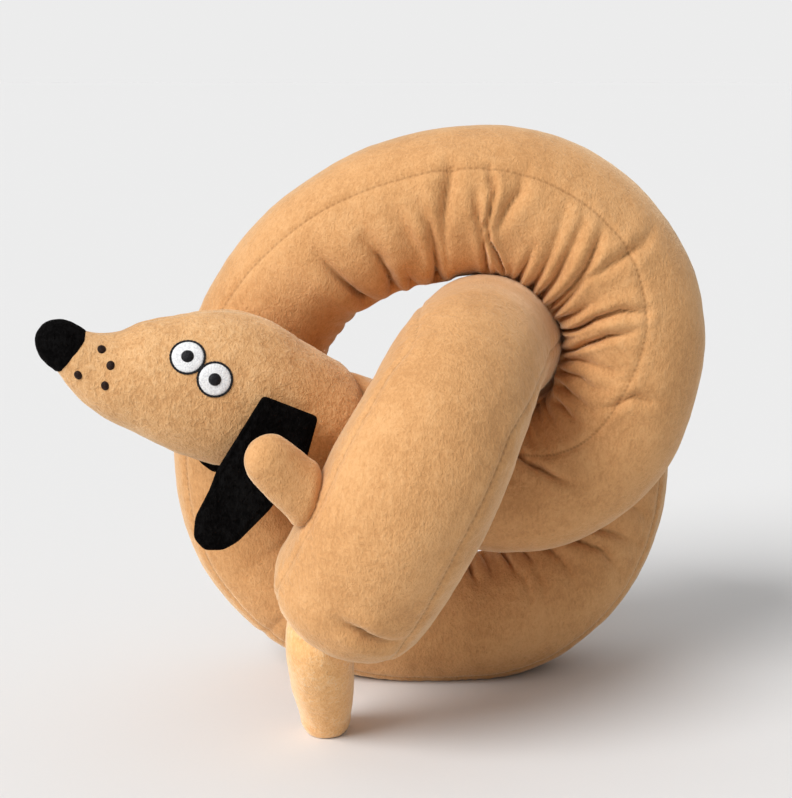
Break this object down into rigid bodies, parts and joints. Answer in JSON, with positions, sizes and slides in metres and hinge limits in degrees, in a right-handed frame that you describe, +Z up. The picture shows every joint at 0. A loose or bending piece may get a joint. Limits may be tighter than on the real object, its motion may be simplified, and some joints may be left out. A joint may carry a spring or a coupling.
{
  "type": "long plush dog toy",
  "caption": "Very long stuffed dachshund whose round plush body is wound into a loose knot, with turning head, ear flaps, legs, tail and liftable rump.",
  "frame": {"origin": "centre of the bounding box's bottom, on the surface it stands on", "axes": "+Z up, X from the nose towards the loop, -Y faces the side with the eyes"},
  "size_m": [0.3285, 0.2502, 0.3037],
  "materials": {
    "plush_tan": "matte",
    "plush_black": "matte",
    "filling": "matte",
    "thread_white": "satin",
    "thread_black": "satin",
    "thread_brown": "matte"
  },
  "bodies": {
    "trunk": {"neck_back_panel": "plush_tan", "neck_belly_panel": "plush_tan", "neck_stuffing": "filling", "loop_back_panel": "plush_tan", "loop_belly_panel": "plush_tan", "loop_stuffing": "filling", "middle_back_panel": "plush_tan", "middle_belly_panel": "plush_tan", "middle_stuffing": "filling"},
    "neck_link": {"neck_core": "filling"},
    "head": {"head_near_side": "plush_black", "head_far_side": "plush_tan", "head_stuffing": "filling", "nose": "plush_black", "eye_white_upper": "thread_white", "eye_white_lower": "thread_white", "eye_line_upper": "thread_black", "eye_line_lower": "thread_black", "pupil_upper": "thread_black", "pupil_lower": "thread_black", "freckle_1": "thread_brown", "freckle_2": "thread_brown", "freckle_3": "thread_brown", "freckle_4": "thread_brown"},
    "near_ear": {"near_ear_front": "plush_black", "near_ear_lining": "plush_black"},
    "far_ear": {"far_ear_front": "plush_black", "far_ear_lining": "plush_black"},
    "rump": {"rump_back_panel": "plush_tan", "rump_belly_panel": "plush_tan", "rump_stuffing": "filling"},
    "tail": {"tail_skin": "plush_tan", "tail_stuffing": "filling"},
    "hind_leg_near": {"hind_leg_near_skin": "plush_black", "hind_leg_near_stuffing": "filling"},
    "hind_leg_far": {"hind_leg_far_skin": "plush_tan", "hind_leg_far_stuffing": "filling"},
    "front_leg_near": {"front_leg_near_skin": "plush_black", "front_leg_near_stuffing": "filling"},
    "front_leg_far": {"front_leg_far_skin": "plush_tan", "front_leg_far_stuffing": "filling"}
  },
  "joints": [
    {"name": "neck_turn", "type": "hinge", "parent": "trunk", "child": "neck_link", "pos_m": [-0.0312, -0.0229, 0.1538], "axis": [0, 0, 1], "range_deg": [-4, 4], "stiffness_Nm_per_rad": 0.8},
    {"name": "head_nod", "type": "hinge", "parent": "neck_link", "child": "head", "pos_m": [-0.0312, -0.0229, 0.1538], "axis": [0, 1, 0], "range_deg": [-12, 14], "stiffness_Nm_per_rad": 0.8},
    {"name": "near_ear_swing", "type": "hinge", "parent": "head", "child": "near_ear", "pos_m": [-0.04285, -0.0733, 0.1765], "axis": [-0.9088, -0.1425, 0.392], "range_deg": [0, 3.5], "stiffness_Nm_per_rad": 0.004},
    {"name": "far_ear_swing", "type": "hinge", "parent": "head", "child": "far_ear", "pos_m": [-0.0841, -0.0111, 0.183], "axis": [0.9458, 0.2703, -0.1802], "range_deg": [0, 5], "stiffness_Nm_per_rad": 0.004},
    {"name": "rump_lift", "type": "hinge", "parent": "trunk", "child": "rump", "pos_m": [0.0359, -0.0602, 0.1823], "axis": [-0.9461, 0.2724, 0.175], "range_deg": [0, 20], "stiffness_Nm_per_rad": 1.2},
    {"name": "tail_wag", "type": "hinge", "parent": "rump", "child": "tail", "pos_m": [-0.0306, -0.0708, 0.054], "axis": [0, 1, 0], "range_deg": [-8, 1.5], "stiffness_Nm_per_rad": 0.15},
    {"name": "hind_leg_near_swing", "type": "hinge", "parent": "rump", "child": "hind_leg_near", "pos_m": [-0.0336, -0.0888, 0.136], "axis": [0, 1, 0], "range_deg": [-8, 8], "stiffness_Nm_per_rad": 0.03},
    {"name": "hind_leg_far_swing", "type": "hinge", "parent": "rump", "child": "hind_leg_far", "pos_m": [0.0334, -0.0488, 0.121], "axis": [0, 1, 0], "range_deg": [-6, 3.5], "stiffness_Nm_per_rad": 0.03},
    {"name": "front_leg_near_swing", "type": "hinge", "parent": "trunk", "child": "front_leg_near", "pos_m": [0.0154, -0.0118, 0.099], "axis": [0, 1, 0], "range_deg": [-6.5, 10], "stiffness_Nm_per_rad": 0.03},
    {"name": "front_leg_far_swing", "type": "hinge", "parent": "trunk", "child": "front_leg_far", "pos_m": [0.0184, 0.0412, 0.111], "axis": [0, 0, 1], "range_deg": [-10, 10], "stiffness_Nm_per_rad": 0.03}
  ]
}
